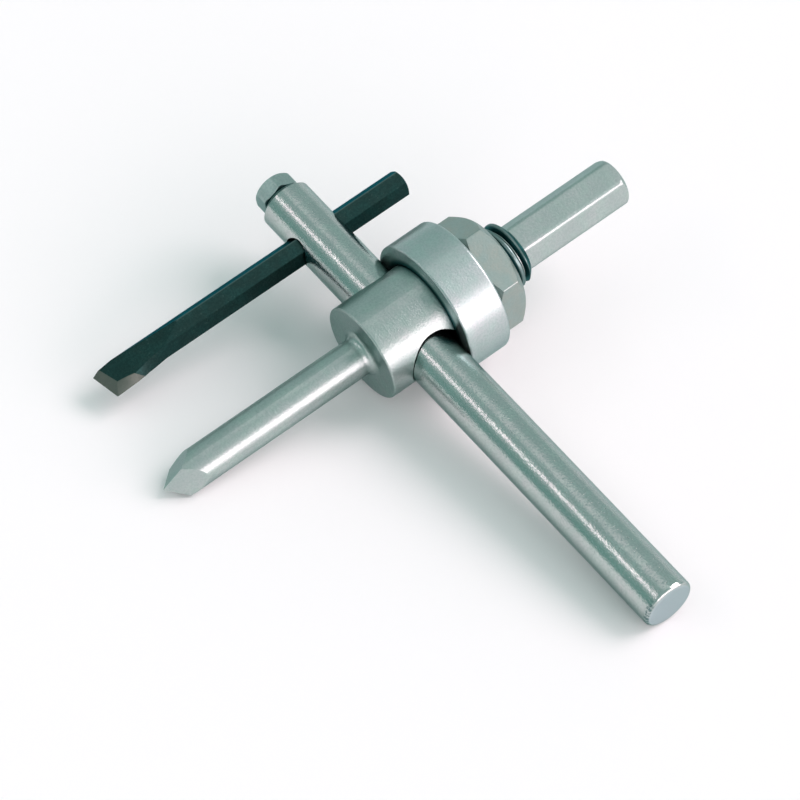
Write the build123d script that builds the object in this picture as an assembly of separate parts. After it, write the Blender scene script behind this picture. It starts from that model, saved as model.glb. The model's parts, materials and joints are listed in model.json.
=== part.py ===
from build123d import *
import math
import os

# Adjustable circle cutter, in millimetres.
# While it is built, X runs along the mandrel from the pilot point to the drill shank, Y runs along the
# arm towards the cutter bit, Z points away from the plane of the two, and the origin is where their
# axes cross. At the end the whole tool is laid down on the floor Z = 0 in the pose it comes to rest in.

# Mandrel: pilot, hub, thread and shank turned from one bar
pilot_d = 8.0
pilot_length = 48.4
pilot_facet_angle = 26.3
pilot_facet_turn = 68.0
pilot_root_fillet = 1.6
hub_d = 20.8
hub_below_arm = 10.2
hub_above_arm = 10.9
hub_edge = 0.4
thread_d = 14.0
thread_core_d = 11.7
thread_past_nut = 5.2
thread_end_chamfer = 0.3
shank_af = 9.5
shank_length = 26.3
shank_turn = 40.0
shank_edge_fillet = 1.2
shank_end_fillet = 1.6
neck_length = 0.8

# Cross hole in the hub
hole_slack = 0.7
hole_seat_gap = 0.1
hole_lift = 1.7

# Arm: a plain round bar
arm_d = 11.2
arm_length = 119.3
arm_to_bit_end = 38.4
arm_edge = 1.1
arm_end_fillet = 0.9

# Clamp ring: a cup that slides over the hub and presses on the arm with its rim
ring_d = 29.2
ring_height = 9.9
ring_web = 3.2
ring_bore_gap = 0.25
ring_web_gap = 0.25
ring_top_edge = 0.7
ring_rim_edge = 0.4
ring_arm_gap = 0.05

# Thin hexagon nut on the mandrel's thread
nut_af = 22.0
nut_height = 7.0
nut_turn = -6.0
nut_edge_fillet = 0.4
nut_face_d = 20.9
nut_chamfer_angle = 38.0
nut_core_gap = 0.06
nut_countersink_d = 14.4
nut_countersink_angle = 30.0
nut_seat_gap = 0.02

# Cutter bit: a hexagon bar with a flared and ground cutting end
bit_af = 5.3
bit_radius_of_cut = 26.8
bit_below_arm = 53.9
bit_above_arm = 21.0
bit_hole_gap = 0.14
bit_roll = 19.0
bit_tail_chamfer = 0.5
bit_flare_length = 13.9
bit_flare_angle = 8.0
bit_side_length = 6.6
bit_side_lean = 54.0
bit_side_flare_angle = 3.0
bit_tip_height = 0.17
bit_face_tilt = 15.6
bit_face_length = 14.0
bit_face_runout = 20.0
bit_back_height = 0.12
bit_back_angle = 8.4
bit_back_tilt = 15.2
bit_end_relief = 59.0
bit_end_skew = 32.5
bit_end_allowance = 0.2

# Clamp screw: M5 with a hexagon head, in the end of the arm
screw_core_d = 4.1
screw_head_af = 8.0
screw_head_height = 3.5
screw_head_gap = 0.35
screw_core_gap = 0.05
screw_mouth_d = 5.4
screw_tip_gap = 0.03
screw_tip_d = 3.5
screw_head_face_d = 7.8
screw_head_chamfer = 0.3
screw_end_chamfer = 0.5
screw_head_corner_d = 8.85

# Places that follow from the sizes above
arm_r = arm_d / 2
pilot_r = pilot_d / 2
ring_x = arm_r + ring_arm_gap
ring_top_x = ring_x + ring_height
nut_x = ring_top_x + nut_seat_gap
nut_top_x = nut_x + nut_height
thread_end_x = nut_top_x + thread_past_nut
shank_end_x = thread_end_x + shank_length
pilot_tip_x = -hub_below_arm - pilot_length
pilot_facet_length = pilot_r / math.tan(math.radians(pilot_facet_angle))
free_end_y = arm_to_bit_end - arm_length
bit_corner_r = bit_af / math.sqrt(3)
bit_hole_r = bit_corner_r + bit_hole_gap


def across_corners(flats):
    """The distance across a hexagon's corners from the distance across its flats."""
    return flats * 2 / math.sqrt(3)


def turned(points):
    """A solid turned about the X axis from (x, radius) points that start and end on the axis."""
    outline = Polyline(*[(x, r) for x, r in points], close=True)
    return revolve(Plane.XZ * make_face(outline), Axis.X)


def hexagon(flats, x, turn):
    """A hexagon across the X axis at x, with a corner turned from +Z towards -Y by turn degrees."""
    return Plane.YZ.offset(x) * RegularPolygon(across_corners(flats) / 2, 6, rotation=90 + turn)


def rounded_prism(flats, x, turn, length, radius):
    """A hexagon bar from x onwards whose long edges are rounded."""
    prism = extrude(hexagon(flats, x, turn), length)
    return fillet(prism.edges().filter_by(Axis.X), radius)


def half_space(origin, normal, size):
    """A block that fills the side of a plane that its normal points to."""
    block = Box(size, size, size, align=(Align.CENTER, Align.CENTER, Align.MIN))
    return Plane(origin=origin, z_dir=normal) * block


def pilot_point(blank):
    """Three flat facets ground on the pilot, which meet in a point on the axis."""
    lean = math.radians(pilot_facet_angle)
    for k in range(3):
        turn = math.radians(pilot_facet_turn + 120 * k)
        normal = (-math.sin(lean), -math.cos(lean) * math.sin(turn), math.cos(lean) * math.cos(turn))
        blank -= half_space((pilot_tip_x, 0, 0), normal, pilot_length)
    return blank


def circles_at(solid, radius, x):
    """The circular edges of a turned solid that have this radius and lie at this x."""
    return [e for e in solid.edges().filter_by(GeomType.CIRCLE)
            if abs(e.center().X - x) < 0.01 and abs(e.radius - radius) < 0.01]


def hexagon_shank():
    """The drill shank: a hexagon bar with rounded edges and a rounded far end."""
    corner_r = across_corners(shank_af) / 2 - shank_edge_fillet * (1 / math.cos(math.radians(30)) - 1)
    bar_x = thread_end_x - neck_length
    bar = rounded_prism(shank_af, bar_x, shank_turn, shank_end_x - bar_x, shank_edge_fillet)
    envelope = turned([
        (thread_end_x - 2 * neck_length, 0),
        (thread_end_x - 2 * neck_length, corner_r),
        (shank_end_x, corner_r),
        (shank_end_x, 0),
    ])
    envelope = fillet(circles_at(envelope, corner_r, shank_end_x), shank_end_fillet)
    return bar & envelope


def cross_hole():
    """The oblong hole for the arm: it seats the arm on its pilot side and leaves room to lift it."""
    hole_r = arm_r + hole_slack
    low = -arm_r - hole_seat_gap + hole_r
    high = arm_r + hole_lift - hole_r
    slot = Plane.XZ * Pos((low + high) / 2, 0) * SlotCenterToCenter(high - low, 2 * hole_r)
    return extrude(slot, hub_d, both=True)


def mandrel():
    """Pilot, hub, thread core and shank in one piece, with the cross hole through the hub."""
    hub_r = hub_d / 2
    core_r = thread_core_d / 2
    body = turned([
        (pilot_tip_x, 0),
        (pilot_tip_x, pilot_r),
        (-hub_below_arm, pilot_r),
        (-hub_below_arm, hub_r),
        (hub_above_arm, hub_r),
        (hub_above_arm, core_r),
        (thread_end_x - thread_end_chamfer, core_r),
        (thread_end_x, core_r - thread_end_chamfer),
        (thread_end_x, 0),
    ])
    body = fillet(circles_at(body, pilot_r, -hub_below_arm), pilot_root_fillet)
    body = fillet(circles_at(body, hub_r, -hub_below_arm) + circles_at(body, hub_r, hub_above_arm), hub_edge)
    return pilot_point(body) + hexagon_shank() - cross_hole()


def clamp_ring():
    """A cup: its wall slides over the hub, its rim bears on the arm and the nut bears on its web."""
    outer_r = ring_d / 2
    bore_r = hub_d / 2 + ring_bore_gap
    web_r = thread_d / 2 + ring_web_gap
    cup = turned([
        (ring_x, bore_r),
        (ring_x, outer_r),
        (ring_top_x, outer_r),
        (ring_top_x, web_r),
        (ring_top_x - ring_web, web_r),
        (ring_top_x - ring_web, bore_r),
    ])
    cup = fillet(circles_at(cup, outer_r, ring_top_x), ring_top_edge)
    return fillet(circles_at(cup, outer_r, ring_x), ring_rim_edge)


def hexagon_nut():
    """A thin nut, chamfered on both faces, with its bore at the thread's core and countersunk."""
    corner_r = across_corners(nut_af) / 2
    face_r = nut_face_d / 2
    drop = (corner_r - face_r) * math.tan(math.radians(nut_chamfer_angle))
    bore_r = thread_core_d / 2 + nut_core_gap
    mouth_r = nut_countersink_d / 2
    sink = (mouth_r - bore_r) * math.tan(math.radians(nut_countersink_angle))
    prism = rounded_prism(nut_af, nut_x, nut_turn, nut_height, nut_edge_fillet)
    chamfers = turned([
        (nut_x + sink, bore_r),
        (nut_x, mouth_r),
        (nut_x, face_r),
        (nut_x + drop, corner_r),
        (nut_top_x - drop, corner_r),
        (nut_top_x, face_r),
        (nut_top_x, mouth_r),
        (nut_top_x - sink, bore_r),
    ])
    return prism & chamfers


def arm():
    """A round bar with a cross hole for the bit and a hole in its chamfered end for the bit's screw."""
    bar = Plane.XZ.offset(-arm_to_bit_end) * Cylinder(
        arm_r, arm_length, align=(Align.CENTER, Align.CENTER, Align.MIN))
    bar = chamfer(bar.edges().filter_by(GeomType.CIRCLE).sort_by(Axis.Y)[-1], arm_edge)
    bar = fillet(bar.edges().filter_by(GeomType.CIRCLE).sort_by(Axis.Y)[0], arm_end_fillet)
    bit_hole = Pos(0, bit_radius_of_cut, 0) * Rot(0, 90, 0) * Cylinder(bit_hole_r, 2 * arm_d)
    hole_r = screw_core_d / 2 + screw_core_gap
    mouth_r = screw_mouth_d / 2
    screw_hole = make_face(Polyline(
        (0, bit_radius_of_cut), (hole_r, bit_radius_of_cut), (hole_r, arm_to_bit_end - mouth_r + hole_r),
        (mouth_r, arm_to_bit_end), (0, arm_to_bit_end), close=True))
    return bar - bit_hole - revolve(screw_hole, Axis.Y)


def bit_section(x, top_y, low_y):
    """The bar's hexagon with a corner up, its two inner corners moved to top_y and low_y."""
    wide = bit_af / 2
    half = bit_corner_r / 2
    return Plane.YZ.offset(x) * Polygon(
        (0, bit_corner_r), (top_y, half), (low_y, -half), (0, -bit_corner_r), (wide, -half), (wide, half),
        align=None)


def slope(angle):
    """The rise over the run of a surface at an angle in degrees."""
    return math.tan(math.radians(angle))


def cutter_bit():
    """The bar, its flared end, and the faces ground on that end, turned in the arm's hole by its roll.

    Below the bar's plain part the inner side flares at its lower corner. Past side_x its upper corner
    leans away as well, so that the ground side twists. The end, the back and the cutting face are planes.
    """
    flat_y = bit_af / 2
    flare_x = bit_flare_length - bit_below_arm
    side_x = bit_side_length - bit_below_arm
    side_y = -flat_y - slope(bit_flare_angle) * (bit_flare_length - bit_side_length)
    side_run = bit_side_length + bit_end_allowance
    lean = slope(bit_side_lean) * bit_corner_r / bit_side_length
    tip_top_y = min(-flat_y + lean * side_run, flat_y - bit_end_allowance)
    tip_low_y = side_y - slope(bit_side_flare_angle) * side_run
    plain = bit_section(flare_x, -flat_y, -flat_y)
    side = bit_section(side_x, -flat_y, side_y)
    tip = bit_section(side_x - side_run, tip_top_y, tip_low_y)
    bar = extrude(plain, bit_above_arm - flare_x) & turned([
        (flare_x, 0),
        (flare_x, bit_corner_r),
        (bit_above_arm - bit_tail_chamfer, bit_corner_r),
        (bit_above_arm, bit_corner_r - 2 * bit_tail_chamfer),
        (bit_above_arm, 0),
    ])
    bit = bar + loft([plain, side], ruled=True) + loft([side, tip], ruled=True)
    size = 2 * bit_below_arm
    corner = (-bit_below_arm, flat_y, bit_tip_height)
    back_normal = (-slope(bit_back_angle), -slope(bit_back_tilt), 1)
    bit -= half_space((-bit_below_arm, 0, bit_back_height), back_normal, size)
    face_start = (bit_face_length - bit_below_arm, 0, -bit_corner_r)
    runout = half_space(face_start, (-slope(bit_face_runout), 0, -1), size)
    bit -= half_space(corner, (0, slope(bit_face_tilt), -1), size) & runout
    bit -= half_space(corner, (-1, -slope(bit_end_skew), slope(bit_end_relief)), size)
    return Pos(0, bit_radius_of_cut, 0) * Rot(-bit_roll, 0, 0) * bit


def clamp_screw():
    """A hexagon head screw whose flat point bears on the bit, its head chamfered at both ends."""
    head_y = arm_to_bit_end + screw_head_gap
    bit_side = bit_corner_r * math.cos(math.radians(30 - bit_roll))
    tip_y = bit_radius_of_cut + bit_side + screw_tip_gap
    shank_r = screw_core_d / 2
    tip_r = screw_tip_d / 2
    corner_r = screw_head_corner_d / 2
    profile = Polyline(
        (0, tip_y), (tip_r, tip_y), (shank_r, tip_y + shank_r - tip_r), (shank_r, head_y), (0, head_y),
        close=True)
    shank = revolve(make_face(profile), Axis.Y)
    hexagon_r = across_corners(screw_head_af) / 2
    hexagon_face = Plane.XZ.offset(-head_y) * RegularPolygon(hexagon_r, 6, rotation=90)
    head = extrude(hexagon_face, -screw_head_height)
    top_y = head_y + screw_head_height
    cone = Polyline(
        (0, head_y), (screw_head_face_d / 2, head_y), (corner_r, head_y + screw_head_chamfer),
        (corner_r, top_y - screw_end_chamfer), (screw_head_face_d / 2, top_y), (0, top_y), close=True)
    return shank + (head & revolve(make_face(cone), Axis.Y))


def rest_angles():
    """The roll and pitch in degrees that lay the tool down, and the height of its origin.

    It rests on the rounded rim of the ring, on the pilot where its facets begin and on the rounded free
    end of the arm. The first two set the pitch: it is the slope of the line from the pilot's shoulder
    that touches the rim's rounding. The arm then drops until its own rounding touches the same plane.
    """
    rim_x = ring_x + ring_rim_edge
    rim_r = ring_d / 2 - ring_rim_edge
    run = rim_x - (pilot_tip_x + pilot_facet_length)
    rise = rim_r - pilot_r
    pitch = math.atan(rise / run) + math.asin(ring_rim_edge / math.hypot(run, rise))
    height = rim_r * math.cos(pitch) - rim_x * math.sin(pitch) + ring_rim_edge
    reach = -free_end_y - arm_end_fillet
    side = arm_r - arm_end_fillet
    drop = math.asin((height - arm_end_fillet) / math.hypot(reach, side)) - math.atan(side / reach)
    up_z = math.sqrt(1 - math.sin(pitch) ** 2 - math.sin(drop) ** 2)
    return math.degrees(math.atan2(math.sin(drop), up_z)), -math.degrees(pitch), height


def main():
    """Builds the pieces, lays them down, writes one STEP file for each and prints where the axes lie."""
    pieces = {
        "mandrel": mandrel(),
        "clamp_ring": clamp_ring(),
        "hex_nut": hexagon_nut(),
        "arm": arm(),
        "cutter_bit": cutter_bit(),
        "clamp_screw": clamp_screw(),
    }
    roll, pitch, height = rest_angles()
    lie = Rot(0, pitch, 0) * Rot(roll, 0, 0)
    laid = {name: lie * solid for name, solid in pieces.items()}
    box = Compound(children=[Part() + solid for solid in laid.values()]).bounding_box()
    lie = Pos(-box.center().X, -box.center().Y, -box.min.Z) * lie
    os.makedirs("parts", exist_ok=True)
    for name, solid in pieces.items():
        export_step(lie * solid, f"parts/{name}.step")
    crossing = lie.position
    print("roll", roll, "pitch", pitch, "height of the crossing", height)
    print("mandrel direction", (lie * Pos(1, 0, 0)).position - crossing)
    print("arm direction", (lie * Pos(0, 1, 0)).position - crossing)
    points = {
        "crossing": (0, 0, 0),
        "bit axis": (0, bit_radius_of_cut, 0),
        "pilot middle": ((pilot_tip_x + pilot_facet_length / 2 - hub_below_arm - pilot_root_fillet) / 2, 0, 0),
        "shank end": (shank_end_x, 0, 0),
    }
    for name, point in points.items():
        print(name, (lie * Pos(*point)).position)


main()
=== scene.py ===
# %% [markdown]
# # An adjustable circle cutter
# This tool cuts round holes in sheet and board. A pilot finds the centre, an arm through the hub carries
# a black cutter bit, and a ring and nut clamp the arm. The solids come from CAD and stay as they are.
# This script adds what a camera sees beyond them: the two threads, the zinc plating with painted shade
# in its gaps, the black of the bit, the bare steel where it was ground, a floor, the light and the camera.

# %% Load the fixed frame
import json
import math

import bpy
import numpy as np
from mathutils import Matrix, Vector


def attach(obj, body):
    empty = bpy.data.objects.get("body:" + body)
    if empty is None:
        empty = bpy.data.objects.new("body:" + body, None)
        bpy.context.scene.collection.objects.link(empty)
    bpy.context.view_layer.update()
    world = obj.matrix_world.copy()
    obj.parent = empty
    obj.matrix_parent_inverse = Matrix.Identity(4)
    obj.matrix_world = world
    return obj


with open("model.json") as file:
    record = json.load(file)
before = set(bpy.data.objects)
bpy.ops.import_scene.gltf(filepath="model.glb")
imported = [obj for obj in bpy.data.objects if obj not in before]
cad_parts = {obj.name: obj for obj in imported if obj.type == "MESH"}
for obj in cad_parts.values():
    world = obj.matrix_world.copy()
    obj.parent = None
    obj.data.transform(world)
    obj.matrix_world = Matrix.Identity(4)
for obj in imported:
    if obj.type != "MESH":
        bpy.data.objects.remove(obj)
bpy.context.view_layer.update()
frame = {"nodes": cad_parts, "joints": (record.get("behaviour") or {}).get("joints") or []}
print("CAD nodes:", sorted(frame["nodes"]))

# %% [markdown]
# ## The tool's own axes
# The tool lies tilted on the floor, so straight up is no use for describing it. Three directions are
# handier: along the mandrel to the shank, along the arm to the bit, and away from the plane of the two.
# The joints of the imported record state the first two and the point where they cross.

# %% Axes of the tool
joints = {joint["name"]: joint for joint in frame["joints"]}
ALONG_MANDREL = np.array(joints["ring_lift"]["axis"])
ALONG_ARM = np.array(joints["arm_slide"]["axis"])
UP = np.cross(ALONG_MANDREL, ALONG_ARM)
TOOL = np.column_stack([ALONG_MANDREL, ALONG_ARM, UP])
CROSSING = np.array(joints["nut_turn"]["pos_m"])
MM = 0.001


def to_world(points_mm):
    """Points given in millimetres along the tool's axes, from the crossing: world = crossing + TOOL p."""
    return CROSSING + np.asarray(points_mm) @ TOOL.T * MM


def span(node, axis):
    """The lowest and highest place of a CAD node along an axis through the crossing, in millimetres."""
    mesh = frame["nodes"][node].data
    points = np.zeros(len(mesh.vertices) * 3, np.float32)
    mesh.vertices.foreach_get("co", points)
    along = (points.reshape(-1, 3) - CROSSING) @ axis / MM
    return float(along.min()), float(along.max())


print("nut from", [round(v, 2) for v in span("hex_nut", ALONG_MANDREL)], "mm along the mandrel")

# %% [markdown]
# ## The camera
# The photograph is taken from far away with a long lens, so parallel edges stay almost parallel. The
# place, the turn and the lens were found by fitting the edges of the mandrel, the arm and the ring, and
# are written in the tool's own axes, because the tool lies tilted.

# %% Camera at the photograph's viewing angle
CAMERA_MM = (-275.0, -385.9, 743.6)
CAMERA_RIGHT = (0.7837, -0.6203, -0.0328)
CAMERA_FORWARD = (0.3025, 0.4272, -0.852)
LENS_MM = 202.6
SENSOR_MM = 36.0
FARTHEST_M = 50.0


def add_camera():
    """A camera on the fitted point, turned by three directions: up = right x forward, back = right x up."""
    data = bpy.data.cameras.new("photo_camera")
    data.lens = LENS_MM
    data.sensor_width = SENSOR_MM
    data.clip_end = FARTHEST_M
    camera = bpy.data.objects.new("photo_camera", data)
    bpy.context.scene.collection.objects.link(camera)
    right = Vector(TOOL @ CAMERA_RIGHT).normalized()
    up = right.cross(Vector(TOOL @ CAMERA_FORWARD)).normalized()
    turn = Matrix((right, up, right.cross(up))).transposed().to_4x4()
    camera.matrix_world = Matrix.Translation(to_world(CAMERA_MM)) @ turn
    bpy.context.scene.camera = camera
    return camera


camera = add_camera()
bpy.context.scene.view_settings.view_transform = "Standard"
print("camera at", [round(v, 3) for v in camera.location])

# %% [markdown]
# ## Floor
# The background of the photograph is plain white. A single square of matt white makes it, large enough
# that its far edge is out of sight, and it also catches the tool's shadow. The tool rests on height zero.

# %% A white floor
FLOOR_HALF_M = 8.0
FLOOR_WHITE = (0.93, 0.93, 0.93, 1)


def add_floor():
    """A flat square of four corners at height zero."""
    corners = np.array([[-1, -1, 0], [1, -1, 0], [1, 1, 0], [-1, 1, 0]]) * FLOOR_HALF_M
    mesh = bpy.data.meshes.new("floor")
    mesh.from_pydata(corners.tolist(), [], [(0, 1, 2, 3)])
    floor = bpy.data.objects.new("floor", mesh)
    bpy.context.scene.collection.objects.link(floor)
    paint = bpy.data.materials.new("white_floor")
    paint.use_nodes = True
    shader = paint.node_tree.nodes["Principled BSDF"]
    shader.inputs["Base Color"].default_value = FLOOR_WHITE
    shader.inputs["Roughness"].default_value = 0.9
    shader.inputs["Specular IOR Level"].default_value = 0.1
    mesh.materials.append(paint)


add_floor()
print("floor of", 2 * FLOOR_HALF_M, "m")

# %% [markdown]
# ## Light
# Bright metal shows its surroundings more than itself: a round bar turns each soft box of a studio into
# a stripe. So the light is a dim blue-green sky with warmer soft boxes in it, placed where the stripes on
# the mandrel and on the arm say they were. Each box is a rectangle of directions with soft edges. Planes
# of light would do the same, but they could stand in the camera's way and throw shadows of their own.

# %% Helpers that place shader nodes
def new_group(name, inputs, outputs):
    """An empty shader group with its sockets, given as (name, socket type, default) and (name, type)."""
    group = bpy.data.node_groups.new(name, "ShaderNodeTree")
    for label, kind, default in inputs:
        socket = group.interface.new_socket(label, in_out="INPUT", socket_type=kind)
        if default is not None:
            socket.default_value = default
    for label, kind in outputs:
        group.interface.new_socket(label, in_out="OUTPUT", socket_type=kind)
    return group, group.nodes.new("NodeGroupInput"), group.nodes.new("NodeGroupOutput")


def feed(tree, source, socket):
    """Links a socket to another, or sets a plain value on it."""
    if isinstance(source, bpy.types.NodeSocket):
        tree.links.new(source, socket)
    else:
        socket.default_value = source


def maths(tree, operation, *values):
    """A Math node fed with sockets or numbers; returns its result."""
    node = tree.nodes.new("ShaderNodeMath")
    node.operation = operation
    for socket, value in zip(node.inputs, values):
        feed(tree, value, socket)
    return node.outputs[0]


def dot(tree, a, b):
    """The dot product of two vectors."""
    node = tree.nodes.new("ShaderNodeVectorMath")
    node.operation = "DOT_PRODUCT"
    feed(tree, a, node.inputs[0])
    feed(tree, b, node.inputs[1])
    return node.outputs["Value"]


def ramp(tree, value, low, high, start=0.0, end=1.0):
    """A value carried smoothly from start to end while it goes from low to high."""
    node = tree.nodes.new("ShaderNodeMapRange")
    node.interpolation_type = "SMOOTHSTEP"
    for label, source in (("Value", value), ("From Min", low), ("From Max", high),
                          ("To Min", start), ("To Max", end)):
        feed(tree, source, node.inputs[label])
    return node.outputs["Result"]


# %% Node group for a soft box in the sky
AHEAD_LEAST = 0.001


def make_soft_box_group():
    """Brightness of one box: 1 inside |x| < width and |y| < height of its centre, with soft edges.

    x and y are the tangents of the angles from the centre: the direction's share along the box's right
    or up, divided by its share along the centre. Only directions ahead of the box see it.
    """
    group, inside, outside = new_group(
        "soft_box",
        [("Direction", "NodeSocketVector", None), ("Centre", "NodeSocketVector", None),
         ("Right", "NodeSocketVector", None), ("Up", "NodeSocketVector", None),
         ("Half Width", "NodeSocketFloat", 0.3), ("Half Height", "NodeSocketFloat", 0.1),
         ("Soft Edge", "NodeSocketFloat", 0.1), ("Strength", "NodeSocketFloat", 1.0)],
        [("Brightness", "NodeSocketFloat")])
    take = inside.outputs
    ahead = dot(group, take["Direction"], take["Centre"])
    safe = maths(group, "MAXIMUM", ahead, AHEAD_LEAST)
    mask = maths(group, "GREATER_THAN", ahead, 0.0)
    for label, half in (("Right", "Half Width"), ("Up", "Half Height")):
        sideways = maths(group, "DIVIDE", dot(group, take["Direction"], take[label]), safe)
        tangent = maths(group, "ABSOLUTE", sideways)
        rim = maths(group, "ADD", take[half], take["Soft Edge"])
        mask = maths(group, "MULTIPLY", mask, ramp(group, tangent, take[half], rim, 1.0, 0.0))
    group.links.new(maths(group, "MULTIPLY", mask, take["Strength"]), outside.inputs["Brightness"])
    return group


soft_box = make_soft_box_group()
print("group", soft_box.name, "with", len(soft_box.nodes), "nodes")

# %% The sky and its soft boxes
SKY = (0.42, 0.565, 0.545)
BOX_TINT = (1.35, 1.0, 1.08)
# Azimuth and elevation of the centre, half width, half height and soft edge, all in degrees, and the
# strength. The last one is a black flag: its strength is taken away from the sky.
SOFT_BOXES = {
    "broad_front": (-72.0, 42.0, 34.0, 10.0, 12.0, 0.15),
    "key_front": (-75.0, 14.0, 38.0, 10.0, 17.0, 2.3),
    "strip_left": (150.0, 45.0, 24.0, 1.1, 2.0, 2.6),
    "small_top": (62.0, 76.0, 11.0, 7.0, 8.0, 0.28),
    "fill_right": (26.0, 8.0, 24.0, 6.0, 10.0, 0.25),
    "flag_left": (156.0, 12.0, 30.0, 12.0, 8.0, -0.11),
}


def box_directions(azimuth, elevation):
    """Unit vectors to the centre of a box, to its right and to its top, from its two angles in degrees."""
    a, e = math.radians(azimuth), math.radians(elevation)
    centre = Vector((math.cos(e) * math.cos(a), math.cos(e) * math.sin(a), math.sin(e)))
    right = Vector((-math.sin(a), math.cos(a), 0.0))
    return centre, right, centre.cross(right)


def light_world():
    """Sky colour = SKY + BOX_TINT * (sum of the brightness of the boxes)."""
    world = bpy.data.worlds.new("studio_sky")
    bpy.context.scene.world = world
    world.use_nodes = True
    tree = world.node_tree
    tree.nodes.clear()
    direction = tree.nodes.new("ShaderNodeTexCoord").outputs["Generated"]
    total = 0.0
    for name, (azimuth, elevation, width, height, soft, strength) in SOFT_BOXES.items():
        node = tree.nodes.new("ShaderNodeGroup")
        node.node_tree = soft_box
        node.label = name
        centre, right, up = box_directions(azimuth, elevation)
        for label, value in (("Direction", direction), ("Centre", centre), ("Right", right), ("Up", up),
                             ("Half Width", math.tan(math.radians(width))),
                             ("Half Height", math.tan(math.radians(height))),
                             ("Soft Edge", math.tan(math.radians(soft))), ("Strength", strength)):
            feed(tree, value, node.inputs[label])
        total = maths(tree, "ADD", total, node.outputs["Brightness"])
    colour = tree.nodes.new("ShaderNodeVectorMath")
    colour.operation = "MULTIPLY_ADD"
    tree.links.new(total, colour.inputs[0])
    colour.inputs[1].default_value = BOX_TINT
    colour.inputs[2].default_value = SKY
    background = tree.nodes.new("ShaderNodeBackground")
    tree.links.new(colour.outputs["Vector"], background.inputs["Color"])
    output = tree.nodes.new("ShaderNodeOutputWorld")
    tree.links.new(background.outputs["Background"], output.inputs["Surface"])


light_world()

# %% [markdown]
# ### The lamp
# The sky alone leaves the floor grey and the tool floating. A sun whose disc is very broad whitens the
# floor and throws a soft shadow. It stands to the right, between the directions that the two round bars
# mirror towards the camera, so that it adds no hard stripe of its own.

# %% A soft lamp that gives the tool its shadow
LAMP_AZIMUTH_DEG, LAMP_ELEVATION_DEG = -20.0, 47.0
LAMP_STRENGTH = 1.6
LAMP_COLOUR = (1.0, 0.8, 0.85)
LAMP_SPREAD_DEG = 36.0


def add_lamp():
    """A sun whose own +Z, away from where it shines, is turned towards the lamp's direction."""
    data = bpy.data.lights.new("soft_lamp", "SUN")
    data.energy = LAMP_STRENGTH
    data.color = LAMP_COLOUR
    data.angle = math.radians(LAMP_SPREAD_DEG)
    lamp = bpy.data.objects.new("soft_lamp", data)
    towards = box_directions(LAMP_AZIMUTH_DEG, LAMP_ELEVATION_DEG)[0]
    lamp.rotation_euler = towards.to_track_quat("Z", "Y").to_euler()
    bpy.context.scene.collection.objects.link(lamp)


add_lamp()
print("soft boxes:", len(SOFT_BOXES), "and one lamp")

# %% [markdown]
# ## Surface of plated steel
# Zinc plating is a thin grey coat with a cool green-blue cast. Up close it is never even: it has cloudy
# patches, tiny pits and the marks of the lathe or of drawing under it. One node group makes the clouds,
# the grain and the pits, and a second one makes the tool marks as ripples across one direction. All the
# metals below place the same two groups, each with values of its own.

# %% Node groups for plating and for tool marks
CLOUDS_PER_M = 170.0
HUES_PER_M = 340.0
GRAINS_PER_M = 2400.0
PITS_PER_M = 1900.0
SPECKLED = 0.45
PIT_TONE = (0.1, 0.16, 0.15, 1)


def noise(tree, vector, scale, detail, roughness=0.5):
    """Soft noise of a given number of bumps per metre; returns its value from 0 to 1."""
    node = tree.nodes.new("ShaderNodeTexNoise")
    feed(tree, vector, node.inputs["Vector"])
    feed(tree, scale, node.inputs["Scale"])
    node.inputs["Detail"].default_value = detail
    node.inputs["Roughness"].default_value = roughness
    return node.outputs["Fac"]


def mix_colour(tree, factor, first, second):
    """The first colour where factor is 0, the second where it is 1."""
    node = tree.nodes.new("ShaderNodeMix")
    node.data_type = "RGBA"
    colours = [socket for socket in node.inputs if socket.type == "RGBA"]
    feed(tree, factor, node.inputs[0])
    feed(tree, first, colours[0])
    feed(tree, second, colours[1])
    return next(socket for socket in node.outputs if socket.type == "RGBA")


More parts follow.
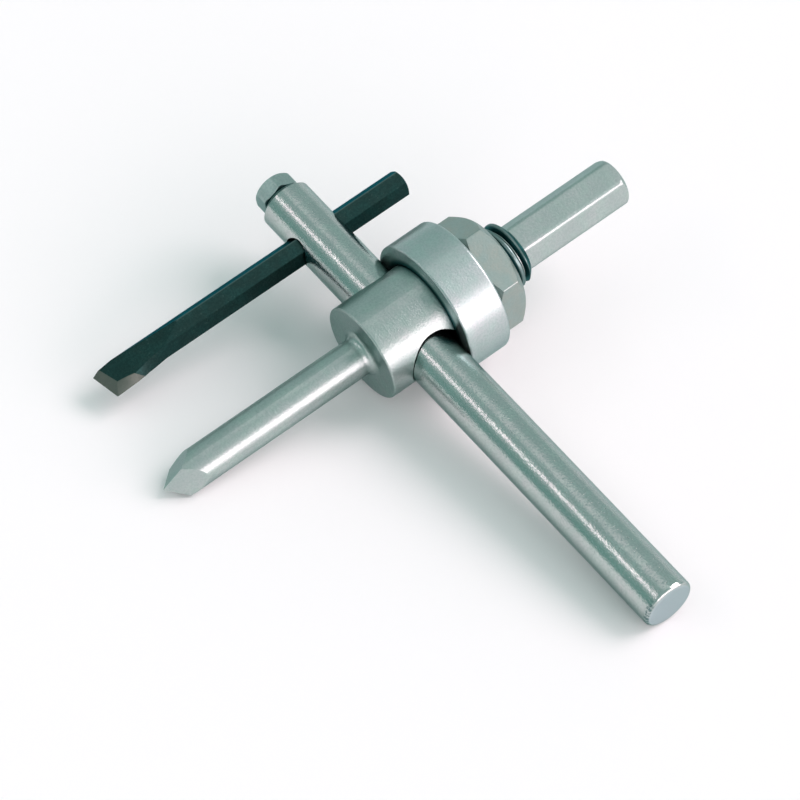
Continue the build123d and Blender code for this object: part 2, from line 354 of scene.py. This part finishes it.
def make_plating_group():
    """Colour = Bright leaned to Tint by slow noise, dulled by clouds, specked by grain, dotted by pits.

    Clouds are noise some millimetres wide, grain is noise half a millimetre wide, specks are its upper
    half and pits are the lowest places of a third noise. Roughness = Roughness + Uneven * (grain - 1/2)
    + Uneven * clouds, and height = grain - 0.8 * pits.
    """
    group, inside, outside = new_group(
        "plating",
        [("Vector", "NodeSocketVector", None),
         ("Bright", "NodeSocketColor", (0.45, 0.52, 0.5, 1)),
         ("Tint", "NodeSocketColor", (0.45, 0.5, 0.5, 1)),
         ("Dull", "NodeSocketColor", (0.35, 0.42, 0.41, 1)),
         ("Roughness", "NodeSocketFloat", 0.25), ("Uneven", "NodeSocketFloat", 0.08),
         ("Clouds", "NodeSocketFloat", 0.5), ("Pits", "NodeSocketFloat", 0.4)],
        [("Color", "NodeSocketColor"), ("Roughness", "NodeSocketFloat"), ("Height", "NodeSocketFloat")])
    take = inside.outputs
    hue = ramp(group, noise(group, take["Vector"], HUES_PER_M, 3.0), 0.35, 0.65)
    cloudy = ramp(group, noise(group, take["Vector"], CLOUDS_PER_M, 4.0, 0.6), 0.3, 0.7)
    clouds = maths(group, "MULTIPLY", cloudy, take["Clouds"])
    grain = noise(group, take["Vector"], GRAINS_PER_M, 3.0)
    dots = ramp(group, noise(group, take["Vector"], PITS_PER_M, 2.0), 0.29, 0.36, 1.0, 0.0)
    pits = maths(group, "MULTIPLY", dots, take["Pits"])
    leaned = mix_colour(group, hue, take["Bright"], take["Tint"])
    clouded = mix_colour(group, clouds, leaned, take["Dull"])
    specks = maths(group, "MULTIPLY", ramp(group, grain, 0.4, 0.6), SPECKLED)
    speckled = mix_colour(group, specks, clouded, take["Dull"])
    pitted = mix_colour(group, pits, speckled, mix_colour(group, 0.5, take["Dull"], PIT_TONE))
    group.links.new(pitted, outside.inputs["Color"])
    swing = maths(group, "MULTIPLY", maths(group, "SUBTRACT", grain, 0.5), take["Uneven"])
    patch = maths(group, "MULTIPLY", clouds, take["Uneven"])
    rough = maths(group, "ADD", maths(group, "ADD", take["Roughness"], swing), patch)
    group.links.new(rough, outside.inputs["Roughness"])
    height = maths(group, "SUBTRACT", grain, maths(group, "MULTIPLY", pits, 0.8))
    group.links.new(height, outside.inputs["Height"])
    return group


def make_tool_marks_group():
    """Height = 0.6 * fine noise + 0.4 * broad noise, both read at coordinates times Across.

    Where a part of Across is near zero, the noise barely changes that way, and the marks run along it.
    """
    group, inside, outside = new_group(
        "tool_marks",
        [("Vector", "NodeSocketVector", None), ("Across", "NodeSocketVector", (1.0, 0.0, 0.0)),
         ("Marks per m", "NodeSocketFloat", 3000.0)],
        [("Height", "NodeSocketFloat")])
    take = inside.outputs
    squeeze = group.nodes.new("ShaderNodeVectorMath")
    squeeze.operation = "MULTIPLY"
    group.links.new(take["Vector"], squeeze.inputs[0])
    group.links.new(take["Across"], squeeze.inputs[1])
    fine = noise(group, squeeze.outputs["Vector"], take["Marks per m"], 2.0, 0.6)
    broad = noise(group, squeeze.outputs["Vector"], maths(group, "MULTIPLY", take["Marks per m"], 0.2), 1.0)
    height = maths(group, "ADD", maths(group, "MULTIPLY", fine, 0.6), maths(group, "MULTIPLY", broad, 0.4))
    group.links.new(height, outside.inputs["Height"])
    return group


plating = make_plating_group()
tool_marks = make_tool_marks_group()
print("groups:", plating.name, tool_marks.name)

# %% [markdown]
# ## Plated steel
# Each material reads the place on the object in metres, turned into the tool's own axes by a Mapping
# node, so that tool marks run round the mandrel and along the arm. Metal turns darker at a glancing
# angle when its specular tint is below white, which gives the plated bars their darker outlines. The
# turned pieces, the drawn arm, the screw and the nut each have a tone and a gloss of their own.

# %% A metal made from the two groups
TURN_TO_TOOL = Matrix(TOOL.T.tolist()).to_euler()
SHIFT_TO_TOOL = -TOOL.T @ CROSSING
RELIEF_M = 0.0001
ZINC_EDGE = (0.42, 0.56, 0.55)


def place_group(tree, group, **values):
    """Places a node group and feeds its inputs; a name's underscores stand for spaces."""
    node = tree.nodes.new("ShaderNodeGroup")
    node.node_tree = group
    for label, value in values.items():
        feed(tree, value, node.inputs[label.replace("_", " ")])
    return node


def tool_vector(tree):
    """Object coordinates turned and moved into the tool's axes."""
    place = tree.nodes.new("ShaderNodeTexCoord")
    mapping = tree.nodes.new("ShaderNodeMapping")
    mapping.inputs["Rotation"].default_value = TURN_TO_TOOL
    mapping.inputs["Location"].default_value = SHIFT_TO_TOOL
    tree.links.new(place.outputs["Object"], mapping.inputs["Vector"])
    return mapping.outputs["Vector"]


def add_bump(tree, shader, height, strength, distance):
    """A Bump node from a height in the given distance of metres to the shader's normal."""
    bump = tree.nodes.new("ShaderNodeBump")
    bump.inputs["Strength"].default_value = strength
    bump.inputs["Distance"].default_value = distance
    tree.links.new(height, bump.inputs["Height"])
    tree.links.new(bump.outputs["Normal"], shader.inputs["Normal"])


def new_metal(name, edge):
    """An empty metal with a tint for its glancing edges; returns it with its tree and shader."""
    material = bpy.data.materials.new(name)
    material.use_nodes = True
    shader = material.node_tree.nodes["Principled BSDF"]
    shader.inputs["Metallic"].default_value = 1.0
    shader.inputs["Specular Tint"].default_value = (*edge, 1)
    return material, material.node_tree, shader


def plated_steel(name, tones, rough, clouds, pits, across, marks_per_m, relief,
                 marks_share=0.4, edge=ZINC_EDGE):
    """Colour and roughness from the plating group; tones are its bright, tint and dull colours.

    Height = (1 - marks_share) * plating + marks_share * tool marks.
    """
    material, tree, shader = new_metal(name, edge)
    vector = tool_vector(tree)
    bright, tint, dull = ((*tone, 1) for tone in tones)
    coat = place_group(tree, plating, Vector=vector, Bright=bright, Tint=tint, Dull=dull,
                       Roughness=rough, Clouds=clouds, Pits=pits)
    marks = place_group(tree, tool_marks, Vector=vector, Across=across, Marks_per_m=marks_per_m)
    tree.links.new(coat.outputs["Color"], shader.inputs["Base Color"])
    tree.links.new(coat.outputs["Roughness"], shader.inputs["Roughness"])
    height = maths(tree, "ADD", maths(tree, "MULTIPLY", coat.outputs["Height"], 1.0 - marks_share),
                   maths(tree, "MULTIPLY", marks.outputs["Height"], marks_share))
    add_bump(tree, shader, height, relief, RELIEF_M)
    return material


# %% Materials for the plated pieces
ZINC = ((0.46, 0.545, 0.515), (0.51, 0.545, 0.54), (0.33, 0.42, 0.40))
ZINC_RING = ((0.51, 0.60, 0.585), (0.57, 0.595, 0.61), (0.37, 0.48, 0.46))
ZINC_SCREW = ((0.36, 0.48, 0.455), (0.38, 0.46, 0.44), (0.24, 0.34, 0.33))
ZINC_ARM = ((0.50, 0.565, 0.54), (0.55, 0.565, 0.56), (0.36, 0.44, 0.42))
NUT_TONES = ((0.38, 0.46, 0.44), (0.44, 0.455, 0.415), (0.32, 0.40, 0.38))
NUT_EDGE = (0.5, 0.6, 0.6)
ROUND_THE_MANDREL = (1.0, 0.05, 0.05)
ALONG_THE_ARM = (1.0, 0.04, 1.0)
OVER_THE_NUT = (0.6, 1.0, 0.3)

zinc_turned = plated_steel("zinc_turned", ZINC, rough=0.29, clouds=0.5, pits=0.25,
                           across=ROUND_THE_MANDREL, marks_per_m=2600.0, relief=0.6)
zinc_ring = plated_steel("zinc_ring", ZINC_RING, rough=0.33, clouds=0.4, pits=0.15,
                         across=ROUND_THE_MANDREL, marks_per_m=2200.0, relief=0.45)
zinc_screw = plated_steel("zinc_screw", ZINC_SCREW, rough=0.30, clouds=0.5, pits=0.4,
                          across=ALONG_THE_ARM, marks_per_m=2000.0, relief=0.5)
zinc_drawn = plated_steel("zinc_drawn", ZINC_ARM, rough=0.16, clouds=0.45, pits=0.35,
                          across=ALONG_THE_ARM, marks_per_m=1800.0, relief=0.45, marks_share=0.15)
nut_steel = plated_steel("nut_steel", NUT_TONES, rough=0.30, clouds=0.5, pits=0.2,
                         across=OVER_THE_NUT, marks_per_m=1500.0, relief=0.35, edge=NUT_EDGE)
print("plated:", ", ".join(m.name for m in (zinc_turned, zinc_ring, zinc_screw, zinc_drawn, nut_steel)))

# %% [markdown]
# ## Painted shade, a painted pale end and patina
# Under the ring, inside its cup, on the arm's end and under the screw's head, painted shade darkens the
# plating to a dark blue-green in the gaps. The arm's free end is painted paler, a painted reflection of the
# bright floor, and one side of its rounding has dark patches of patina. Each of these is a mask on the
# place in the tool's axes, and a tone mixed in by it. The masks move with the pieces, so a lifted ring
# bares the painted shade on the hub.

# %% Where the painted shade, the painted pale end and the patina patches lie, in millimetres
# A dark blue-green tone: painted shade in the gaps and recesses, and also the patina patches on the arm's
# rounding.
SHADE_AND_PATINA = (0.04, 0.12, 0.125, 1)
# A paler tone on the arm's flat free end: a painted reflection of the bright floor.
PAINTED_PALE_END = (0.53, 0.59, 0.615, 1)
FADE = 0.5
COVERED_FROM, COVERED_TO = 5.2, 11.0
# CUP_R and the width after it bound the painted shade in the ring's cup.
CUP_R, RIM_SHADE_WIDTH = 11.0, 1.4
END_FLAT_R = 4.4
END_DEPTHS = (0.4, 0.2)
HEAD_HEIGHT = 3.5
HEAD_DEPTHS = (0.05, 0.2)
PALE_END_DEPTHS = (0.03, 0.12)
PATCHY_DEPTHS = (0.8, 1.6)
PATCHY_SIDE, PATCHY_SHARE = (-4.6, -3.0), 0.8
PATCHES_PER_M = 1600.0
ARM_START, ARM_END = span("arm", ALONG_ARM)
SCREW_HEAD = span("clamp_screw", ALONG_ARM)[1] - HEAD_HEIGHT
FROM_MANDREL = (0, 1, 1)
FROM_ARM = (1, 0, 1)
print("arm from %.2f to %.2f mm, screw's head from %.2f mm" % (ARM_START, ARM_END, SCREW_HEAD))


def length_across(tree, place, across):
    """Millimetres from an axis: the length of the place times (0, 1, 1) or (1, 0, 1)."""
    flat = tree.nodes.new("ShaderNodeVectorMath")
    flat.operation = "MULTIPLY"
    tree.links.new(place, flat.inputs[0])
    flat.inputs[1].default_value = [share / MM for share in across]
    length = tree.nodes.new("ShaderNodeVectorMath")
    length.operation = "LENGTH"
    tree.links.new(flat.outputs["Vector"], length.inputs[0])
    return length.outputs["Value"]


def along_mandrel(tree, place):
    """Millimetres along the mandrel from the crossing."""
    return dot(tree, place, (1 / MM, 0, 0))


def along_arm(tree, place):
    """Millimetres along the arm from the crossing."""
    return dot(tree, place, (0, 1 / MM, 0))


def painted_shade_under_ring(tree, place):
    """Painted shade: 1 on the part of the hub that the ring covers."""
    x = along_mandrel(tree, place)
    begins = ramp(tree, x, COVERED_FROM, COVERED_FROM + FADE)
    return maths(tree, "MULTIPLY", begins, ramp(tree, x, COVERED_TO, COVERED_TO + FADE, 1.0, 0.0))


def painted_shade_in_cup(tree, place):
    """Painted shade: 1 on the ring's bore, fading out over the inner edge of its rim."""
    return ramp(tree, length_across(tree, place, FROM_MANDREL), CUP_R, CUP_R + RIM_SHADE_WIDTH, 1.0, 0.0)


def painted_shade_at_arm_end(tree, place):
    """Painted shade: 1 on the flat end of the arm, under the screw's head: both near its end and near its
    axis.
    """
    flat = ramp(tree, along_arm(tree, place), ARM_END - END_DEPTHS[0], ARM_END - END_DEPTHS[1])
    inner = ramp(tree, length_across(tree, place, FROM_ARM), END_FLAT_R, END_FLAT_R + FADE, 1.0, 0.0)
    return maths(tree, "MULTIPLY", flat, inner)


def painted_shade_under_head(tree, place):
    """Painted shade: 1 on the screw up to the underside of its head."""
    start, end = (SCREW_HEAD + depth for depth in HEAD_DEPTHS)
    return ramp(tree, along_arm(tree, place), start, end, 1.0, 0.0)


def patchy_rounding(tree, place):
    """Side * rounding * patches of noise: the arm's rounded free end, where it looks towards the pilot."""
    side = ramp(tree, along_mandrel(tree, place), *PATCHY_SIDE, PATCHY_SHARE, 0.0)
    start, end = (ARM_START + depth for depth in PATCHY_DEPTHS)
    rounding = ramp(tree, along_arm(tree, place), start, end, 1.0, 0.0)
    patches = ramp(tree, noise(tree, place, PATCHES_PER_M, 3.0), 0.42, 0.58)
    return maths(tree, "MULTIPLY", maths(tree, "MULTIPLY", side, rounding), patches)


def painted_pale_free_end(tree, place):
    """Painted reflection: 1 on the flat free end of the arm, which is painted paler."""
    start, end = (ARM_START + depth for depth in PALE_END_DEPTHS)
    return ramp(tree, along_arm(tree, place), start, end, 1.0, 0.0)


# %% Painted shade, a painted pale end and patina patches on the plated pieces
def paint_shade_light_and_patina(material, mask_from, tone):
    """Mixes a tone into the colour of a metal where mask_from(tree, place) is 1; used for painted shade,
    the painted pale end and patina patches.
    """
    tree = material.node_tree
    colour = tree.nodes["Principled BSDF"].inputs["Base Color"]
    coat = colour.links[0].from_socket
    tree.links.new(mix_colour(tree, mask_from(tree, tool_vector(tree)), coat, tone), colour)


zinc_mandrel = zinc_turned.copy()
zinc_mandrel.name = "zinc_mandrel"
# Painted shade under the ring, in the cup, on the arm's end and under the head; a painted pale free end;
# patina patches on the rounding.
for material, mask_from, tone in ((zinc_mandrel, painted_shade_under_ring, SHADE_AND_PATINA), (zinc_ring, painted_shade_in_cup, SHADE_AND_PATINA),
                                  (zinc_drawn, painted_shade_at_arm_end, SHADE_AND_PATINA), (zinc_drawn, patchy_rounding, SHADE_AND_PATINA),
                                  (zinc_drawn, painted_pale_free_end, PAINTED_PALE_END), (zinc_screw, painted_shade_under_head, SHADE_AND_PATINA)):
    paint_shade_light_and_patina(material, mask_from, tone)
    print(material.name, "is stained by", mask_from.__name__)


# %% Give each plated piece its metal
def finish_with(node, material):
    """Puts a material in the place of the one that a CAD node came with."""
    piece = frame["nodes"][node]
    piece.data.materials.clear()
    piece.data.materials.append(material)
    print(node, "gets", material.name)


for node, material in (("mandrel", zinc_mandrel), ("clamp_ring", zinc_ring), ("arm", zinc_drawn),
                       ("clamp_screw", zinc_screw), ("hex_nut", nut_steel)):
    finish_with(node, material)

# %% [markdown]
# ## The black bit
# The bit is tool steel left black from the fire, with a slight gloss. Its cutting end was ground after
# that, so bare metal shows on the ground planes, with the fine parallel scratches of the wheel. The CAD
# mesh has no seams for them, but its planes are known, so a mask asks how far a point lies from one.

# %% Where the bit was ground, in millimetres and degrees
BIT_ROLL_DEG = 19.0
BIT_RADIUS_OF_CUT = 26.8
BIT_BELOW_ARM = 53.9
BIT_FLAT = 2.65
TIP_HEIGHT = 0.17
END_LEAN, END_SKEW = math.tan(math.radians(59.0)), math.tan(math.radians(32.5))
FLARE_LENGTH, SIDE_LENGTH = 13.9, 6.6
FLARE, SIDE_FLARE = math.tan(math.radians(8.0)), math.tan(math.radians(3.0))
CORNER_R = 2 * BIT_FLAT / math.sqrt(3)
SIDE_X = SIDE_LENGTH - BIT_BELOW_ARM
SIDE_LOW = -BIT_FLAT - FLARE * (FLARE_LENGTH - SIDE_LENGTH)
SIDE_LEAN = math.tan(math.radians(54.0)) * CORNER_R / SIDE_LENGTH
GROUND_FROM, GROUND_SLANT = -47.2, 0.93
SIDE_REACH, END_REACH, RIDGE_REACH = 0.08, 0.05, 0.06
REACH_FADE = 0.08


def bit_coordinates(tree, vector):
    """The place on the bit in millimetres: x along it, y across it, z up its ridge, as three values.

    With the tool's coordinates (X, Y, Z) and the roll a: x = X, y = (Y - R) cos a - Z sin a and
    z = (Y - R) sin a + Z cos a, where R is the radius of cut.
    """
    a = math.radians(BIT_ROLL_DEG)
    y = maths(tree, "SUBTRACT", dot(tree, vector, (0, math.cos(a) / MM, -math.sin(a) / MM)),
              BIT_RADIUS_OF_CUT * math.cos(a))
    z = maths(tree, "SUBTRACT", dot(tree, vector, (0, math.sin(a) / MM, math.cos(a) / MM)),
              BIT_RADIUS_OF_CUT * math.sin(a))
    return dot(tree, vector, (1 / MM, 0, 0)), y, z


def join(tree, x, y, z):
    """One vector from three values."""
    node = tree.nodes.new("ShaderNodeCombineXYZ")
    for socket, value in zip(node.inputs, (x, y, z)):
        feed(tree, value, socket)
    return node.outputs["Vector"]


def near(tree, value, reach):
    """1 where a value is nearer to zero than reach, fading to 0 over another REACH_FADE."""
    return ramp(tree, maths(tree, "ABSOLUTE", value), reach, reach + REACH_FADE, 1.0, 0.0)


def ground_mask(tree, x, y, z):
    """1 on the two ground facets, the bevelled end and the side that leans away towards the tip.

    The end is the plane through the tip whose normal is (-1, -END_SKEW, END_LEAN). The side is ruled
    between its top corner, top = -BIT_FLAT + SIDE_LEAN * past, and its low corner, low = SIDE_LOW +
    FLARE * before - SIDE_FLARE * past: y = (top + low) / 2 + (top - low) z / CORNER_R. It was ground
    from the line x + GROUND_SLANT * z = GROUND_FROM onwards.
    """
    end = dot(tree, join(tree, x, y, z), (-1.0, -END_SKEW, END_LEAN))
    end = maths(tree, "SUBTRACT", end, BIT_BELOW_ARM - END_SKEW * BIT_FLAT + END_LEAN * TIP_HEIGHT)
    end = maths(tree, "DIVIDE", end, math.sqrt(1.0 + END_SKEW ** 2 + END_LEAN ** 2))
    run = maths(tree, "SUBTRACT", SIDE_X, x)
    past = maths(tree, "MAXIMUM", run, 0.0)
    before = maths(tree, "MAXIMUM", maths(tree, "MULTIPLY", run, -1.0), 0.0)
    top = maths(tree, "MULTIPLY_ADD", past, SIDE_LEAN, -BIT_FLAT)
    low = maths(tree, "MULTIPLY_ADD", past, -SIDE_FLARE, SIDE_LOW)
    low = maths(tree, "MULTIPLY_ADD", before, FLARE, low)
    middle = maths(tree, "MULTIPLY", maths(tree, "ADD", top, low), 0.5)
    tilt = maths(tree, "DIVIDE", maths(tree, "SUBTRACT", top, low), CORNER_R)
    side = near(tree, maths(tree, "SUBTRACT", y, maths(tree, "MULTIPLY_ADD", z, tilt, middle)), SIDE_REACH)
    start = maths(tree, "MULTIPLY_ADD", z, GROUND_SLANT, x)
    side = maths(tree, "MULTIPLY", side, ramp(tree, start, GROUND_FROM - 0.1, GROUND_FROM, 1.0, 0.0))
    return maths(tree, "MAXIMUM", near(tree, end, END_REACH), side)


# %% Material for the bit
BLACK_BRIGHT, BLACK_TINT = (0.028, 0.075, 0.071, 1), (0.033, 0.069, 0.064, 1)
BLACK_DULL = (0.015, 0.040, 0.038, 1)
BLACK_EDGE = (0.12, 0.45, 0.52)
# A painted highlight along the bit's ridge, standing in for the glint of a rounded edge.
RIDGE_HIGHLIGHT = (0.11, 0.17, 0.16, 1)
GROUND_DARK, GROUND_LIGHT = (0.105, 0.122, 0.106, 1), (0.145, 0.168, 0.148, 1)
ALONG_THE_BIT = (0.03, 1.0, 1.0)
WHEEL_MARKS = (0.5, 1.0, 0.1)
BIT_RELIEF_M = 0.00006


def black_bit():
    """Black metal whose gloss changes with noise, a painted highlight along the ridge, and bare steel where
    it was ground.

    Roughness = plating + 0.12 * ground, and height = plating + 0.3 * marks along the bit.
    """
    material, tree, shader = new_metal("black_bit", BLACK_EDGE)
    vector = tool_vector(tree)
    x, y, z = bit_coordinates(tree, vector)
    ground = ground_mask(tree, x, y, z)
    # Painted highlight: the ridge between two facets is lightened.
    ridge = maths(tree, "MULTIPLY", near(tree, maths(tree, "SUBTRACT", z, CORNER_R), RIDGE_REACH), 0.6)
    coat = place_group(tree, plating, Vector=vector, Bright=BLACK_BRIGHT, Tint=BLACK_TINT,
                       Dull=BLACK_DULL, Roughness=0.34, Uneven=0.12, Clouds=0.45, Pits=0.5)
    marks = place_group(tree, tool_marks, Vector=vector, Across=ALONG_THE_BIT, Marks_per_m=2400.0)
    scratches = place_group(tree, tool_marks, Vector=vector, Across=WHEEL_MARKS, Marks_per_m=4200.0)
    highlighted = mix_colour(tree, ridge, coat.outputs["Color"], RIDGE_HIGHLIGHT)
    steel = mix_colour(tree, scratches.outputs["Height"], GROUND_DARK, GROUND_LIGHT)
    tree.links.new(mix_colour(tree, ground, highlighted, steel), shader.inputs["Base Color"])
    rough = maths(tree, "ADD", coat.outputs["Roughness"], maths(tree, "MULTIPLY", ground, 0.12))
    tree.links.new(rough, shader.inputs["Roughness"])
    drawn = maths(tree, "MULTIPLY_ADD", marks.outputs["Height"], 0.3, coat.outputs["Height"])
    add_bump(tree, shader, drawn, 0.35, BIT_RELIEF_M)
    return material


finish_with("cutter_bit", black_bit())

# %% [markdown]
# ## Threads
# The mandrel carries a coarse thread for the nut, and the clamp screw a fine one. A thread is a ridge
# wound round a core, and the core is in the CAD. The ridge's section is a rounded crest, and its surface
# is that section carried along a helix: one parameter runs round the section, the other along the helix.
# At both ends the ridge sinks into the core, so it has no cut face. A Screw modifier could wind it too,
# but could not sink its ends.

# %% A ridge wound round a core
STEPS_PER_TURN = 60
SHARP_DEG = 40.0
SUNK, DEEPER = 0.12, 0.1
SECTION_PLACES = (-0.48, -0.46, -0.26, -0.19, -0.1, 0.1, 0.19, 0.26, 0.46, 0.48)
SECTION_HEIGHTS = (0.0, 0.0, 0.66, 0.9, 1.0, 1.0, 0.9, 0.66, 0.0, 0.0)


def thread_ridge(name, axes, start, end, core_r, crest_r, pitch, end_slope):
    """Closed helical ridge in the tool's axes, in millimetres.

    At turn angle w the ridge's middle is at x = start + pitch * w / 2 pi. Its section has places in
    pitches along x and heights in shares of crest - core. Its two feet and a point between them lie
    below the core. The radius rises over the first half turn, and is never more than the end chamfer
    allows there, which is core + (end - x) * end_slope.
    """
    sunk = core_r - SUNK
    offsets = np.array([*SECTION_PLACES, 0.0]) * pitch
    radii = core_r + np.array([*SECTION_HEIGHTS, 0.0]) * (crest_r - core_r)
    radii[[0, -2]] = sunk
    radii[-1] = sunk - DEEPER
    turns = (end - start) / pitch
    w = np.linspace(0.0, 2 * np.pi * turns, int(turns * STEPS_PER_TURN) + 1)
    middle = start + pitch * w / (2 * np.pi)
    x = np.clip(middle[:, None] + offsets[None, :], start, end)
    run_in = np.clip(w[:, None] / np.pi, 0, 1)
    allowed = core_r + np.maximum(end - x, 0.0) * end_slope
    wanted = sunk + (radii[None, :] - sunk) * run_in
    radius = np.minimum(wanted, allowed)
    angle = np.broadcast_to(w[:, None], x.shape)
    points = np.stack([x, -np.sin(angle) * radius, np.cos(angle) * radius], axis=-1) @ np.array(axes)
    rows, columns = x.shape
    grid = np.arange(rows * columns).reshape(rows, columns)
    nxt = np.roll(grid, -1, axis=1)
    faces = np.stack([grid[:-1], grid[1:], nxt[1:], nxt[:-1]], axis=-1).reshape(-1, 4).tolist()
    faces += [grid[0].tolist(), grid[-1, ::-1].tolist()]
    mesh = bpy.data.meshes.new(name)
    mesh.from_pydata(to_world(points.reshape(-1, 3)).tolist(), [], faces)
    mesh.polygons.foreach_set("use_smooth", np.ones(len(mesh.polygons), bool))
    mesh.set_sharp_from_angle(angle=math.radians(SHARP_DEG))
    ridge = bpy.data.objects.new(name, mesh)
    bpy.context.scene.collection.objects.link(ridge)
    print(name, round(turns, 1), "turns,", len(mesh.polygons), "faces")
    return ridge


# %% The painted shade on a thread
# Painted shade on the threads: full in the roots and on the flanks, lighter on the crest.
CREST_FROM, CREST_TO, CREST_SHADE = 0.7, 0.98, 0.6


def thread_steel(name, across, core_r, crest_r):
    """Painted shade on the flanks and the bottom, lighter on the crest, where it dims the glint: the
    distance from the axis decides.
    """
    depth = crest_r - core_r

    def painted_shade_below_crest(tree, place):
        """Painted shade: 1 up to CREST_FROM of the thread's height, falling to a lighter share at CREST_TO
        of it.
        """
        start, end = core_r + CREST_FROM * depth, core_r + CREST_TO * depth
        return ramp(tree, length_across(tree, place, across), start, end, 1.0, CREST_SHADE)

    material = zinc_turned.copy()
    material.name = name
    paint_shade_light_and_patina(material, painted_shade_below_crest, SHADE_AND_PATINA)
    return material


# %% The two threads
MANDREL_AXES = ((1, 0, 0), (0, 1, 0), (0, 0, 1))
SCREW_AXES = ((0, 1, 0), (0, 0, 1), (1, 0, 0))
MANDREL_CORE_R, MANDREL_CREST_R, MANDREL_PITCH = 5.85, 7.0, 2.0
SCREW_CORE_R, SCREW_CREST_R, SCREW_PITCH = 2.05, 2.5, 0.8
MANDREL_SLOPE, SCREW_SLOPE = 1.0, 3.0
THREAD_START, PAST_THE_NUT = 12.6, 5.2
THREAD_END = span("hex_nut", ALONG_MANDREL)[1] + PAST_THE_NUT
SCREW_THREAD_LENGTH = 4.0
SCREW_START = SCREW_HEAD - SCREW_THREAD_LENGTH

mandrel_thread = thread_ridge("mandrel_thread", MANDREL_AXES, THREAD_START, THREAD_END,
                              MANDREL_CORE_R, MANDREL_CREST_R, MANDREL_PITCH, MANDREL_SLOPE)
mandrel_thread.data.materials.append(
    thread_steel("mandrel_thread", FROM_MANDREL, MANDREL_CORE_R, MANDREL_CREST_R))
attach(mandrel_thread, "mandrel")

screw_thread = thread_ridge("screw_thread", SCREW_AXES, SCREW_START, SCREW_HEAD,
                            SCREW_CORE_R, SCREW_CREST_R, SCREW_PITCH, SCREW_SLOPE)
screw_thread.data.materials.append(
    thread_steel("screw_thread", FROM_ARM, SCREW_CORE_R, SCREW_CREST_R))
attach(screw_thread, "clamp_screw")
